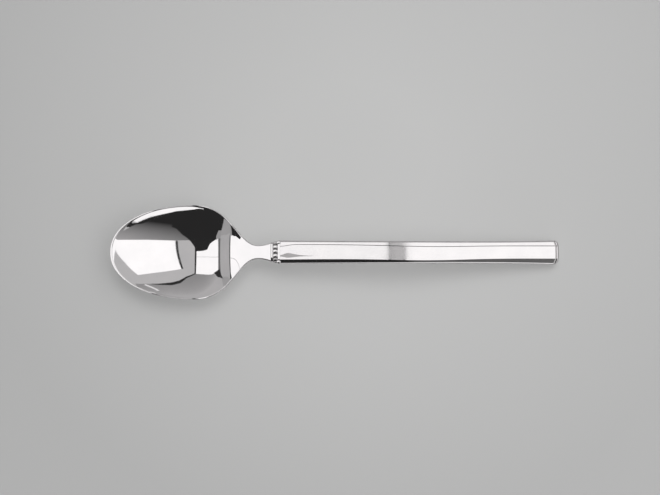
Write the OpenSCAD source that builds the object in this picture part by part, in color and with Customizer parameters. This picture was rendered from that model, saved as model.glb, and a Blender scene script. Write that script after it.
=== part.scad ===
// Coffee spoon: a forged bowl whose tang is cemented into a hollow bar handle.
// Two pressed half shells make the bar, a pearled collar and an end cap close it, and a cast core fills it.
// X runs from the bowl's tip to the end of the handle, Z is up, and the spoon lies on Z = 0. Millimetres.

/* [Overall] */
// Length from the bowl's tip to the end of the handle
overall_length = 135; // [128:1:145]

/* [Bowl] */
// Width over the rim
bowl_width = 28.2; // [25:0.2:31]
// Distance from the tip to the widest section
bowl_front = 25; // [23:0.5:27]
// Fullness of the tip: 2 is an ellipse, more is squarer
tip_fullness = 2.1; // [1.9:0.05:2.3]
// Distance from the tip to the lowest point of the bowl
bowl_low = 27; // [26:0.5:28]
// Height of the rim above the table at the widest section
rim_height = 7.4; // [6.8:0.1:8.2]
// Height of the upper surface at the tip
tip_height = 9.4; // [8.6:0.1:10.2]
// Downward slope of the upper surface at the tip, in degrees
tip_slope = 27.5; // [24:0.5:31]
// Radius of the lengthwise curve at the tip
tip_radius = 85; // [50:5:120]
// Radius of the lengthwise curve at the lowest point
floor_radius = 24; // [20:1:30]
// Thickness of the metal at the lowest point
bowl_wall = 1.4; // [1:0.1:2]
// Width of the rim along the sides, seen from above
rim_land = 0.35; // [0.25:0.05:0.8]
// Width of the rim at the tip, seen from above
tip_land = 0.75; // [0.5:0.05:1]
// Depth of the rim's outer wall below the rim's inner edge
rim_drop = 0.8; // [0.6:0.05:1]

/* [Neck] */
// Distance from the tip to where the heel leaves the round of the bowl
heel_start = 35; // [33.5:0.5:36.5]
// Distance from the tip to the narrowest section of the neck
neck_at = 44.2; // [43.5:0.1:45]
// Narrowest width of the neck
neck_width = 3.8; // [3.2:0.1:4.2]
// Thickness of the neck
neck_thickness = 2.5; // [2.1:0.1:3]
// Height of the neck's middle above the table where it meets the collar
neck_height = 7.2; // [6.6:0.1:8]
// Radius in plan where the heel runs into the neck
heel_fillet = 4.5; // [3.5:0.5:6]
// Length of the rise from the lowest point to the neck
heel_run = 14; // [13:0.5:15]
// Height of the crown over the neck's upper edges
neck_crown = 0.06; // [0.04:0.02:0.3]
// Height of the neck's rounded upper edges
neck_edge = 0.6; // [0.4:0.05:0.9]
// Length of the flare from the narrowest section to the collar
flare_run = 3.9; // [3.2:0.1:4.2]
// Radius in plan of that flare
flare_radius = 12; // [11:0.5:16]

/* [Tang] */
// Length of the tang behind the neck
tang_length = 27; // [20:1:28]
// Width of the tang
tang_width = 2.8; // [2.2:0.1:3.2]
// Thickness of the tang
tang_thickness = 1.6; // [1.2:0.1:1.9]
// Radius of the keying notches in the tang's edges
notch_radius = 0.5; // [0.3:0.05:0.6]
// Number of notches along each edge
notch_count = 3; // [1:1:4]

/* [Handle] */
// Upward slope of the front stretch, in degrees
front_slope = 5; // [4:0.25:6]
// Downward slope of the rear stretch, in degrees
rear_slope = 10; // [9:0.25:11]
// Radius of the soft bend between the two stretches
bend_radius = 55; // [35:5:60]
// Width of the bar at the collar
bar_width_front = 7; // [6.6:0.1:8]
// Width of the bar at its waist
bar_width_waist = 6.6; // [6.3:0.1:7]
// Width of the bar at its end
bar_width_end = 7.2; // [6.8:0.1:9]
// Distance of the waist behind the collar joint
waist_at = 57; // [45:1:70]
// Thickness of the bar
bar_thickness = 4.2; // [3.9:0.1:4.8]
// Width of each bevel at the collar, seen from above
bevel_width_front = 1.3; // [1:0.05:1.7]
// Width of each bevel at the end, seen from above
bevel_width_end = 1.7; // [1.3:0.05:2]
// Slope of the bevels, in degrees
bevel_slope = 20; // [14:1:30]
// Radius along the bar's edges
edge_radius = 0.7; // [0.4:0.05:0.8]
// Thickness of the pressed shells
shell_wall = 0.6; // [0.45:0.05:0.7]

/* [Collar] */
// Length of the collar
collar_length = 2.9; // [2.6:0.1:3.4]
// Width of the collar's front lip
lip_width = 5.3; // [5.1:0.1:5.8]
// Length of the front lip
lip_length = 0.6; // [0.4:0.05:0.7]
// Rounding of the lips
lip_round = 0.2; // [0.1:0.05:0.3]
// Length of the rear lip
rear_lip_length = 0.7; // [0.5:0.05:0.9]
// How far the pearl groove lies below the front lip
groove_depth = 0.2; // [0.1:0.05:0.3]
// Diameter of the pearls
pearl_diameter = 1.15; // [0.8:0.05:1.2]
// Number of pearls round the collar
pearl_count = 12; // [8:4:16]
// Depth of the register that plugs the shells at the collar
collar_plug = 1.5; // [1:0.1:2]

/* [End cap] */
// Thickness of the end cap
cap_thickness = 0.9; // [0.6:0.05:1.2]
// Chamfer round the cap's outer face
cap_chamfer = 0.3; // [0.1:0.05:0.4]
// Depth of the register that plugs the shells at the end
cap_plug = 1; // [0.6:0.1:1.6]

/* [Fits] */
// Clearance between pieces that plug into one another
fit_gap = 0.05; // [0.03:0.01:0.1]

/* [Hidden] */

// How far the tang's bar starts inside the neck
tang_root = 1;
// How quickly the rim narrows away from the tip
tip_land_fade = 10;
// Half the distance over which slopes are measured
probe = 0.01;

steel = "#c8c8ca";
cement = "#8c877e";

// Steps along the outline and across the bowl
tip_steps = 30;
heel_steps = 24;
ring_steps = 7;
rim_steps = 3;
bar_steps = 8;
bend_steps = 6;

bowl_half = bowl_width / 2;
neck_half = neck_width / 2;
heel_span = neck_at - heel_start;
heel_half = sqrt(pow(bowl_half, 2) - pow(heel_start - bowl_front, 2));
heel_lean = (bowl_front - heel_start) / heel_half;
heel_bend = -(1 + pow(heel_lean, 2)) / heel_half;
joint_at = neck_at + flare_run;
neck_start = bowl_low + heel_run;
neck_start_height = neck_height + (neck_start - joint_at) * tan(front_slope)
    + neck_thickness / (2 * cos(front_slope));

// Smooth step from 0 to 1, and a curve with given heights, slopes and curvatures at both ends
function ease(t) = let (c = min(1, max(0, t))) c * c * c * (10 - 15 * c + 6 * c * c);
function span(t, h, z0, m0, c0, z1, m1, c1) =
    let (t3 = t * t * t, t4 = t3 * t, t5 = t4 * t)
    z0 * (1 - 10 * t3 + 15 * t4 - 6 * t5)
    + m0 * h * (t - 6 * t3 + 8 * t4 - 3 * t5)
    + c0 * h * h * (t * t - 3 * t3 + 3 * t4 - t5) / 2
    + c1 * h * h * (t3 - 2 * t4 + t5) / 2
    + m1 * h * (7 * t4 - 4 * t3 - 3 * t5)
    + z1 * (10 * t3 - 15 * t4 + 6 * t5);

// Half width of the outline behind the widest section: the round of the bowl, the heel and the neck's flare
function half_width(u) =
    u < heel_start ? sqrt(pow(bowl_half, 2) - pow(u - bowl_front, 2))
    : u < neck_at
    ? span((u - heel_start) / heel_span, heel_span, heel_half, heel_lean, heel_bend,
           neck_half, 0, 1 / heel_fillet)
    : neck_half + flare_radius - sqrt(pow(flare_radius, 2) - pow(u - neck_at, 2));
function half_slope(u) = (half_width(u + probe) - half_width(u - probe)) / (2 * probe);
function inner_half(u) = half_width(u) - rim_land * sqrt(1 + pow(half_slope(u), 2));

// Outline of the tip, the rim's width there and the outward direction, by angle from 90 to 270 degrees
function tip_edge(a) =
    [bowl_front * (1 - pow(abs(cos(a)), 2 / tip_fullness)),
     bowl_half * sign(sin(a)) * pow(abs(sin(a)), 2 / tip_fullness)];
function tip_rim(a) = rim_land + (tip_land - rim_land) * pow(abs(cos(a)), tip_land_fade);
function tip_outward(p) =
    let (gx = -pow((bowl_front - p.x) / bowl_front, tip_fullness - 1) / bowl_front,
         gy = sign(p.y) * pow(abs(p.y) / bowl_half, tip_fullness - 1) / bowl_half)
    [gx, gy] / norm([gx, gy]);

// Lengthwise curve of the upper surface, its slope, and the upright thickness of the metal below it
function turn(u) = ease((u - bowl_low) / heel_run);
function top_line(u) =
    u < bowl_low
    ? span(u / bowl_low, bowl_low, tip_height, -tan(tip_slope), 1 / tip_radius,
           bowl_wall, 0, 1 / floor_radius)
    : u < neck_start
    ? span((u - bowl_low) / heel_run, heel_run, bowl_wall, 0, 1 / floor_radius,
           neck_start_height, tan(front_slope), 0)
    : neck_start_height + (u - neck_start) * tan(front_slope);
function top_slope(u) = (top_line(u + probe) - top_line(u - probe)) / (2 * probe);
function metal(u) =
    u < bowl_low
    ? bowl_wall - (bowl_wall - rim_drop) * pow(1 - u / bowl_low, 2)
    : (bowl_wall + (neck_thickness - bowl_wall) * turn(u)) * sqrt(1 + pow(top_slope(u), 2));

// Upper and lower surfaces: a lengthwise curve with a parabola across it that meets the rim line
rim_run = neck_start - bowl_front;
function rim_line(u) =
    u < neck_start
    ? span((u - bowl_front) / rim_run, rim_run, rim_height, top_slope(bowl_front), 0,
           neck_start_height - neck_crown, tan(front_slope), 0)
    : top_line(u) - neck_crown;
function rim_fall(u) = rim_drop + (neck_thickness / 2 - rim_drop) * turn(u);
function top_bend(u) =
    let (v = max(u, bowl_front))
    (rim_line(v) - top_line(v)) / pow(inner_half(v), 2);
function low_bend(u) =
    let (v = max(u, bowl_front))
    (metal(v) + rim_line(v) - top_line(v) - rim_fall(v)) / pow(half_width(v), 2);
function top_z(u, y) = top_line(u) + top_bend(u) * y * y;
function low_z(u, y) = top_line(u) - metal(u) + low_bend(u) * y * y;

// Sections near the collar lean back so that the last one is square to the handle
function lean(u, z) =
    let (k = ease((u - neck_at) / flare_run))
    u - k * (z - neck_height) * tan(front_slope);
function spoon_point(u, y, z) = [lean(u, z) - overall_length / 2, y, z];

// The outline runs from the joint along one side, round the tip and back along the other side
path_steps = 2 * heel_steps + tip_steps;
function path_u(i) = joint_at - (joint_at - bowl_front) * i / heel_steps;
function on_tip(i) = i > heel_steps && i < heel_steps + tip_steps;
function tip_angle(i) = 90 + 180 * (i - heel_steps) / tip_steps;
function side(i) = i <= heel_steps ? 1 : -1;
function row(i) = i <= heel_steps ? i : i < heel_steps + tip_steps ? heel_steps : path_steps - i;
function outer_edge(i) =
    on_tip(i) ? tip_edge(tip_angle(i)) : [path_u(row(i)), side(i) * half_width(path_u(row(i)))];
function inner_edge(i) =
    on_tip(i) ? let (p = tip_edge(tip_angle(i))) p - tip_rim(tip_angle(i)) * tip_outward(p)
    : [path_u(row(i)), side(i) * inner_half(path_u(row(i)))];
function spine(i) = [path_u(row(i)), 0];

function top_ring(i, s) =
    let (p = spine(i) + s * (inner_edge(i) - spine(i))) spoon_point(p.x, p.y, top_z(p.x, p.y));
function low_ring(i, s) =
    let (p = spine(i) + s * (outer_edge(i) - spine(i))) spoon_point(p.x, p.y, low_z(p.x, p.y));
// Across the rim the bowl's slope levels out to a crisp edge, while the neck's top rolls over its edge
function rim_ring(i, a) =
    let (p = inner_edge(i), q = outer_edge(i), t = sin(a), r = p + (q - p) * t, roll = turn(p.x),
         zp = top_z(p.x, p.y), rise = top_z(q.x, q.y) - zp)
    spoon_point(r.x, r.y,
                zp + (1 - roll) * rise * (t - t * t / 2) - roll * neck_edge * (1 - cos(a)));

// Bowl and neck as one closed surface
module bowl_and_neck() {
    rings = concat(
        [for (k = [1:ring_steps]) [for (i = [0:path_steps]) top_ring(i, k / ring_steps)]],
        [for (k = [1:rim_steps]) [for (i = [0:path_steps]) rim_ring(i, 90 * k / rim_steps)]],
        [for (k = [ring_steps:-1:1]) [for (i = [0:path_steps]) low_ring(i, k / ring_steps)]]);
    n = path_steps + 1;
    spine_n = heel_steps + 1;
    last = len(rings) - 1;
    low_spine = spine_n + n * len(rings);
    points = concat(
        [for (i = [0:heel_steps]) top_ring(i, 0)],
        [for (r = rings) each r],
        [for (i = [0:heel_steps]) low_ring(i, 0)]);
    function at(k, i) = spine_n + k * n + i;
    faces = concat(
        [for (i = [0:path_steps - 1]) [row(i), at(0, i + 1), at(0, i)]],
        [for (i = [0:path_steps - 1]) if (row(i) != row(i + 1)) [row(i), row(i + 1), at(0, i + 1)]],
        [for (k = [0:last - 1]) for (i = [0:path_steps - 1]) [at(k, i), at(k + 1, i + 1), at(k + 1, i)]],
        [for (k = [0:last - 1]) for (i = [0:path_steps - 1]) [at(k, i), at(k, i + 1), at(k + 1, i + 1)]],
        [for (i = [0:path_steps - 1]) [at(last, i), at(last, i + 1), low_spine + row(i)]],
        [for (i = [0:path_steps - 1]) if (row(i) != row(i + 1))
            [low_spine + row(i), at(last, i + 1), low_spine + row(i + 1)]]);
    end_face = concat(
        [0],
        [for (k = [0:last]) at(k, 0)],
        [low_spine],
        [for (k = [last:-1:0]) at(k, path_steps)]);
    polyhedron(points, concat(faces, [end_face]), convexity = 6);
}

// Middle line of the handle: a straight stretch, an arc and a straight stretch
bar_end_x = overall_length - (bar_thickness / 2 - cap_chamfer) * sin(rear_slope);
bar_end_z = bar_thickness / 2 * cos(rear_slope) - cap_chamfer * sin(rear_slope);
peak_x = (bar_end_z - neck_height + bar_end_x * tan(rear_slope) + joint_at * tan(front_slope))
    / (tan(front_slope) + tan(rear_slope));
bend_tangent = bend_radius * tan((front_slope + rear_slope) / 2);
front_run = (peak_x - joint_at) / cos(front_slope) - bend_tangent;
rear_run = (bar_end_x - peak_x) / cos(rear_slope) - bend_tangent;
bend_run = bend_radius * (front_slope + rear_slope) * PI / 180;
handle_run = front_run + bend_run + rear_run;
shell_start = collar_length;
shell_end = handle_run - cap_thickness;

function heading(s) =
    s < front_run ? front_slope
    : s < front_run + bend_run ? front_slope - (s - front_run) / bend_radius * 180 / PI
    : -rear_slope;
function middle(s) =
    let (h = heading(s),
         f = min(s, front_run),
         r = max(0, s - front_run - bend_run))
    [joint_at + f * cos(front_slope) + bend_radius * (sin(front_slope) - sin(h)) + r * cos(rear_slope),
     neck_height + f * sin(front_slope) + bend_radius * (cos(h) - cos(front_slope)) - r * sin(rear_slope)];
function bar_point(s, p) =
    let (m = middle(s), h = heading(s))
    [m.x - p.y * sin(h) - overall_length / 2, p.x, m.y + p.y * cos(h)];
function bar_width(s) =
    s < waist_at
    ? bar_width_waist + (bar_width_front - bar_width_waist)
        * pow((waist_at - s) / (waist_at - shell_start), 2)
    : bar_width_waist + (bar_width_end - bar_width_waist)
        * pow((s - waist_at) / (shell_end - waist_at), 2);
function bar_bevel(s) =
    bevel_width_front + (bevel_width_end - bevel_width_front) * (s - shell_start) / (shell_end - shell_start);

// Rounded corner at q between p and r
function corner(p, q, r, radius, steps) =
    let (a = (p - q) / norm(p - q), b = (r - q) / norm(r - q),
         half = acos(a * b) / 2,
         c = q + (a + b) / norm(a + b) * radius / sin(half),
         v = q + a * radius / tan(half) - c,
         w = q + b * radius / tan(half) - c,
         a0 = atan2(v.y, v.x),
         sweep = (atan2(w.y, w.x) - a0 + 540) % 360 - 180)
    [for (i = [0:steps]) c + radius * [cos(a0 + sweep * i / steps), sin(a0 + sweep * i / steps)]];

// Upper half of the bar's section, drawn in by an inset, from one side seam to the other
function upper_half(width, thickness, bevel, inset, steps) =
    let (seam = [width / 2 - inset, 0],
         shoulder = [width / 2 - inset,
                     thickness / 2 - bevel * tan(bevel_slope) - inset * tan(45 - bevel_slope / 2)],
         edge = [width / 2 - bevel - inset * tan(bevel_slope / 2), thickness / 2 - inset],
         over = [-edge.x, edge.y],
         radius = max(edge_radius - inset, edge_radius / 3),
         right = concat([seam], corner(seam, shoulder, edge, radius, steps),
                        corner(shoulder, edge, over, radius, steps)))
    concat(right, [for (i = [len(right) - 1:-1:0]) [-right[i].x, right[i].y]]);
function lower_half(width, thickness, bevel, inset, steps) =
    [for (p = upper_half(width, thickness, bevel, inset, steps)) [p.x, -p.y]];
function reversed(v) = [for (i = [len(v) - 1:-1:0]) v[i]];
function inside(v) = [for (i = [1:len(v) - 2]) v[i]];
function section(width, thickness, bevel, inset, steps) =
    concat(upper_half(width, thickness, bevel, inset, steps),
           inside(reversed(lower_half(width, thickness, bevel, inset, steps))));
function bar_upper(s, inset, steps) = upper_half(bar_width(s), bar_thickness, bar_bevel(s), inset, steps);
function bar_lower(s, inset, steps) = lower_half(bar_width(s), bar_thickness, bar_bevel(s), inset, steps);
function bar_section(s, inset, steps) = section(bar_width(s), bar_thickness, bar_bevel(s), inset, steps);

// Stations along the bar, closest together in the bend
function stations(first, final) =
    concat([for (i = [0:bar_steps - 1]) first + (front_run - first) * i / bar_steps],
           [for (i = [0:bend_steps - 1]) front_run + bend_run * i / bend_steps],
           [for (i = [0:bar_steps]) front_run + bend_run + (final - front_run - bend_run) * i / bar_steps]);

// Solid skinned over rings of equal length
module skin(rings) {
    n = len(rings[0]);
    last = len(rings) - 1;
    polyhedron(
        [for (r = rings) each r],
        concat(
            [[for (j = [0:n - 1]) j]],
            [[for (j = [n - 1:-1:0]) last * n + j]],
            [for (i = [0:last - 1]) for (j = [0:n - 1])
                [i * n + j, (i + 1) * n + j, (i + 1) * n + (j + 1) % n]],
            [for (i = [0:last - 1]) for (j = [0:n - 1])
                [i * n + j, (i + 1) * n + (j + 1) % n, i * n + (j + 1) % n]]),
        convexity = 8);
}

// Places a child drawn along X from the collar joint
module on_front() {
    translate([joint_at - overall_length / 2, 0, neck_height]) rotate([0, -front_slope, 0]) children();
}

// Places a child drawn along X from the end of the shells
module on_end() {
    p = bar_point(shell_end, [0, 0]);
    translate(p) rotate([0, rear_slope, 0]) children();
}

// Outline drawn in the plane across X and pushed along X
module along_x(from, to, outline) {
    translate([from, 0, 0]) rotate([90, 0, 90]) linear_extrude(to - from) polygon(outline);
}

// The tang's bar, with keying notches cut into both edges
module tang(gap) {
    notch_pitch = (tang_length - collar_length - collar_plug) / (notch_count + 1);
    difference() {
        translate([-tang_root, -tang_width / 2 - gap, -tang_thickness / 2 - gap])
            cube([tang_root + tang_length + gap, tang_width + 2 * gap, tang_thickness + 2 * gap]);
        for (i = [1:notch_count], e = [-1, 1])
            translate([collar_length + collar_plug + i * notch_pitch, e * (tang_width / 2 + gap), 0])
                cylinder(h = 2 * tang_thickness, r = notch_radius, center = true, $fn = 32);
    }
}

module bowl_with_tang() {
    color(steel) union() {
        bowl_and_neck();
        on_front() tang(0);
    }
}

// Point at a share of the way round a closed outline
function round_lengths(v) =
    [for (i = 0, d = 0; i <= len(v);
          d = d + (i < len(v) ? norm(v[(i + 1) % len(v)] - v[i]) : 0), i = i + 1) d];
function round_point(v, share) =
    let (d = round_lengths(v), goal = share * d[len(v)],
         i = max([for (j = [0:len(v) - 1]) if (d[j] <= goal) j]),
         t = (goal - d[i]) / (d[i + 1] - d[i]))
    v[i] * (1 - t) + v[(i + 1) % len(v)] * t;

module collar() {
    lip_thickness = bar_thickness - (bar_width_front - lip_width) / 2;
    rear_start = collar_length - rear_lip_length;
    rear_width = bar_width_front - 2 * lip_round;
    rear_thickness = bar_thickness - 2 * lip_round;
    groove_width = lip_width - 2 * groove_depth;
    groove_thickness = lip_thickness - 2 * groove_depth;
    function ring(s, inset, wide, thick) =
        [for (p = section(wide, thick, bevel_width_front, inset, 2)) bar_point(s, p)];
    plug = bar_section(collar_length + collar_plug, shell_wall + fit_gap, 1);
    pearl_path = section(groove_width, groove_thickness, bevel_width_front, 0, 2);
    color(steel) difference() {
        union() {
            skin([
                ring(0, lip_round, lip_width, lip_thickness),
                ring(lip_round, 0, lip_width, lip_thickness),
                ring(lip_length, 0, lip_width, lip_thickness),
                ring(lip_length + groove_depth, 0, groove_width, groove_thickness),
                ring(rear_start, 0, groove_width, groove_thickness),
                ring(rear_start + lip_round, 0, rear_width, rear_thickness),
                ring(collar_length, 0, bar_width_front, bar_thickness)]);
            on_front() for (i = [0:pearl_count - 1]) {
                p = round_point(pearl_path, i / pearl_count);
                translate([(lip_length + groove_depth + rear_start) / 2, p.x, p.y])
                    sphere(d = pearl_diameter, $fn = 20);
            }
            on_front() along_x(collar_length - lip_round, collar_length + collar_plug, plug);
        }
        on_front() translate([-collar_length, -tang_width / 2 - fit_gap, -tang_thickness / 2 - fit_gap])
            cube([3 * collar_length, tang_width + 2 * fit_gap, tang_thickness + 2 * fit_gap]);
    }
}

module handle_top_shell() {
    color(steel) skin([for (s = stations(shell_start, shell_end))
        [for (p = concat(bar_upper(s, 0, 2), reversed(bar_upper(s, shell_wall, 1)))) bar_point(s, p)]]);
}

module handle_bottom_shell() {
    color(steel) skin([for (s = stations(shell_start, shell_end))
        [for (p = concat(reversed(bar_lower(s, 0, 2)), bar_lower(s, shell_wall, 1))) bar_point(s, p)]]);
}

module handle_core() {
    core_start = collar_length + collar_plug + fit_gap;
    core_end = shell_end - cap_plug - fit_gap;
    color(cement) difference() {
        skin([for (s = stations(core_start, core_end))
            [for (p = bar_section(s, shell_wall + fit_gap, 1)) bar_point(s, p)]]);
        on_front() tang(fit_gap);
    }
}

module end_cap() {
    function ring(s, inset) =
        [for (p = section(bar_width_end, bar_thickness, bevel_width_end, inset, 3))
            if (p.y != 0) bar_point(s, p)];
    plug = bar_section(shell_end - cap_plug, shell_wall + fit_gap, 1);
    color(steel) union() {
        skin([ring(shell_end, 0), ring(handle_run - cap_chamfer, 0), ring(handle_run, cap_chamfer)]);
        on_end() along_x(-cap_plug, cap_thickness / 2, plug);
    }
}

bowl_with_tang();
collar();
handle_top_shell();
handle_bottom_shell();
handle_core();
end_cap();
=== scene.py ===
import math

import bmesh
import bpy
import numpy as np
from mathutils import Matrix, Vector


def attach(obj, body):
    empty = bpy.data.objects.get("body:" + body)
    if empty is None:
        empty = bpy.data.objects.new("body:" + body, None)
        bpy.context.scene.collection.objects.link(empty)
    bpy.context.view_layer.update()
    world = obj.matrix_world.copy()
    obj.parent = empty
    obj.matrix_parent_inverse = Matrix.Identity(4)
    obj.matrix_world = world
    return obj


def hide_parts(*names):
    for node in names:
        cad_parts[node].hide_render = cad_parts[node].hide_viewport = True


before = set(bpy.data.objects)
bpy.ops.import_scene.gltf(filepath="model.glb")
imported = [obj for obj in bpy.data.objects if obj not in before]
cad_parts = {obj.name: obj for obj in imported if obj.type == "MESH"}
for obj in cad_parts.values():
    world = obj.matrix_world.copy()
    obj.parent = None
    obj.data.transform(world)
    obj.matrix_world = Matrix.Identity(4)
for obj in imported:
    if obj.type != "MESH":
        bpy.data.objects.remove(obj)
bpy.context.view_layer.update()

MM = 0.001

# Sizes in millimetres and degrees, with the values of the part's source
LENGTH = 135.0
BOWL_WIDTH = 28.2
BOWL_FRONT = 25.0
TIP_FULLNESS = 2.1
BOWL_LOW = 27.0
RIM_HEIGHT = 7.4
TIP_HEIGHT = 9.4
TIP_SLOPE = 27.5
TIP_RADIUS = 85.0
FLOOR_RADIUS = 24.0
BOWL_WALL = 1.4
RIM_LAND = 0.35
TIP_LAND = 0.75
TIP_LAND_FADE = 10
RIM_DROP = 0.8
HEEL_START = 35.0
HEEL_FILLET = 4.5
HEEL_RUN = 14.0
NECK_AT = 44.2
NECK_THICKNESS = 2.5
NECK_HEIGHT = 7.2
NECK_EDGE = 0.6
FLARE_RUN = 3.9
TANG_LENGTH = 27.0
TANG_WIDTH = 2.8
TANG_THICKNESS = 1.6
TANG_ROOT = 1.0
NOTCH_RADIUS = 0.5
NOTCH_COUNT = 3
FRONT_SLOPE = 5.0
REAR_SLOPE = 10.0
BAR_FRONT = 7.0
BAR_WAIST = 6.6
BAR_END = 7.2
WAIST_AT = 57.0
BAR_THICKNESS = 4.2
BEVEL_FRONT = 1.3
BEVEL_END = 1.7
BEVEL_SLOPE = 20.0
EDGE_RADIUS = 0.7
SHELL_WALL = 0.6
FIT_GAP = 0.05
COLLAR_LENGTH = 2.9
COLLAR_PLUG = 1.5
GROOVE_DEPTH = 0.2
PEARL_COUNT = 12
CAP_THICKNESS = 0.9
CAP_PLUG = 1.0
CAP_CHAMFER = 0.3

# Sizes of the finished surface that differ from the source, where it stands up to 0.35 mm off the solids
NECK_WIDTH = 4.2
NECK_CROWN = 0.02
FLARE_RADIUS = 10.5
BEND_RADIUS = 37.0
LIP_WIDTH = 6.0
LIP_LENGTH = 0.8
LIP_ROUND = 0.25

# The finished heel has a slightly crisper crest and a little more shoulder towards its edges
HEEL_SWELL = 0.04
HEEL_CREST = 35.4
HEEL_CREST_RUN = 1.0
HEEL_SHOULDER = 0.007
SHOULDER_AT = 36.8
SHOULDER_RUN = 1.8

# Values that follow from the sizes of the bowl and neck
BOWL_HALF = BOWL_WIDTH / 2
NECK_HALF = NECK_WIDTH / 2
TAN_FRONT = math.tan(math.radians(FRONT_SLOPE))
TAN_REAR = math.tan(math.radians(REAR_SLOPE))
HEEL_SPAN = NECK_AT - HEEL_START
HEEL_HALF = math.sqrt(BOWL_HALF ** 2 - (HEEL_START - BOWL_FRONT) ** 2)
HEEL_LEAN = (BOWL_FRONT - HEEL_START) / HEEL_HALF
HEEL_BEND = -(1 + HEEL_LEAN ** 2) / HEEL_HALF
JOINT_AT = NECK_AT + FLARE_RUN
NECK_START = BOWL_LOW + HEEL_RUN
NECK_START_Z = (NECK_HEIGHT + (NECK_START - JOINT_AT) * TAN_FRONT
                + NECK_THICKNESS / (2 * math.cos(math.radians(FRONT_SLOPE))))

# Half the distance over which a slope is measured, and a length that keeps a division off zero
PROBE = 0.01
TINY = 1e-9


def ease(t):
    """Rise from 0 to 1 that starts and ends without slope or bend."""
    c = np.clip(t, 0, 1)
    return c ** 3 * (10 - 15 * c + 6 * c * c)


def span(t, h, z0, m0, c0, z1, m1, c1):
    """Curve with given heights, slopes and curvatures at both ends of a run h."""
    t3, t4, t5 = t ** 3, t ** 4, t ** 5
    return (z0 * (1 - 10 * t3 + 15 * t4 - 6 * t5) + m0 * h * (t - 6 * t3 + 8 * t4 - 3 * t5)
            + c0 * h * h * (t * t - 3 * t3 + 3 * t4 - t5) / 2
            + c1 * h * h * (t3 - 2 * t4 + t5) / 2
            + m1 * h * (7 * t4 - 4 * t3 - 3 * t5) + z1 * (10 * t3 - 15 * t4 + 6 * t5))


# Bowl and neck: outline, lengthwise curve and the surfaces above and below, at distances u from the tip
def half_width(u):
    bowl = np.sqrt(np.maximum(BOWL_HALF ** 2 - (u - BOWL_FRONT) ** 2, 0))
    heel = span((u - HEEL_START) / HEEL_SPAN, HEEL_SPAN, HEEL_HALF, HEEL_LEAN, HEEL_BEND,
                NECK_HALF, 0, 1 / HEEL_FILLET)
    flare = NECK_HALF + FLARE_RADIUS - np.sqrt(np.maximum(FLARE_RADIUS ** 2 - (u - NECK_AT) ** 2, 0))
    return np.where(u < HEEL_START, bowl, np.where(u < NECK_AT, heel, flare))


def inner_half(u):
    """Half the width inside the rim."""
    slope = (half_width(u + PROBE) - half_width(u - PROBE)) / (2 * PROBE)
    return half_width(u) - RIM_LAND * np.sqrt(1 + slope ** 2)


def turn(u):
    """Share of the way from the bowl's section to the neck's."""
    return ease((u - BOWL_LOW) / HEEL_RUN)


def top_line(u):
    """Height of the upper surface along the middle."""
    tip = span(u / BOWL_LOW, BOWL_LOW, TIP_HEIGHT, -math.tan(math.radians(TIP_SLOPE)), 1 / TIP_RADIUS,
               BOWL_WALL, 0, 1 / FLOOR_RADIUS)
    heel = span((u - BOWL_LOW) / HEEL_RUN, HEEL_RUN, BOWL_WALL, 0, 1 / FLOOR_RADIUS,
                NECK_START_Z, TAN_FRONT, 0)
    neck = NECK_START_Z + (u - NECK_START) * TAN_FRONT
    line = np.where(u < BOWL_LOW, tip, np.where(u < NECK_START, heel, neck))
    return line + HEEL_SWELL * np.exp(-((u - HEEL_CREST) / HEEL_CREST_RUN) ** 2)


def top_slope(u):
    return (top_line(u + PROBE) - top_line(u - PROBE)) / (2 * PROBE)


def metal(u):
    """Thickness of the metal along the middle, measured upright."""
    tip = BOWL_WALL - (BOWL_WALL - RIM_DROP) * (1 - u / BOWL_LOW) ** 2
    heel = (BOWL_WALL + (NECK_THICKNESS - BOWL_WALL) * turn(u)) * np.sqrt(1 + top_slope(u) ** 2)
    return np.where(u < BOWL_LOW, tip, heel)


def rim_line(u):
    """Height of the rim's inner edge from the widest section back."""
    run = NECK_START - BOWL_FRONT
    rise = span((u - BOWL_FRONT) / run, run, RIM_HEIGHT, top_slope(np.float64(BOWL_FRONT)), 0,
                NECK_START_Z - NECK_CROWN, TAN_FRONT, 0)
    return np.where(u < NECK_START, rise, top_line(u) - NECK_CROWN)


def top_z(u, y):
    v = np.maximum(u, BOWL_FRONT)
    shoulder = HEEL_SHOULDER * np.exp(-((u - SHOULDER_AT) / SHOULDER_RUN) ** 2)
    return top_line(u) + ((rim_line(v) - top_line(v)) / inner_half(v) ** 2 + shoulder) * y * y


def low_z(u, y):
    v = np.maximum(u, BOWL_FRONT)
    fall = RIM_DROP + (NECK_THICKNESS / 2 - RIM_DROP) * turn(v)
    bend = (metal(v) + rim_line(v) - top_line(v) - fall) / half_width(v) ** 2
    return top_line(u) - metal(u) + bend * y * y


def spoon_points(u, y, z):
    """Points of the bowl and neck; towards the collar the sections lean until they are square to the bar."""
    lean = ease((u - NECK_AT) / FLARE_RUN) * (z - NECK_HEIGHT) * TAN_FRONT
    return np.stack([u - lean - LENGTH / 2, y, z], -1)


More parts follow.
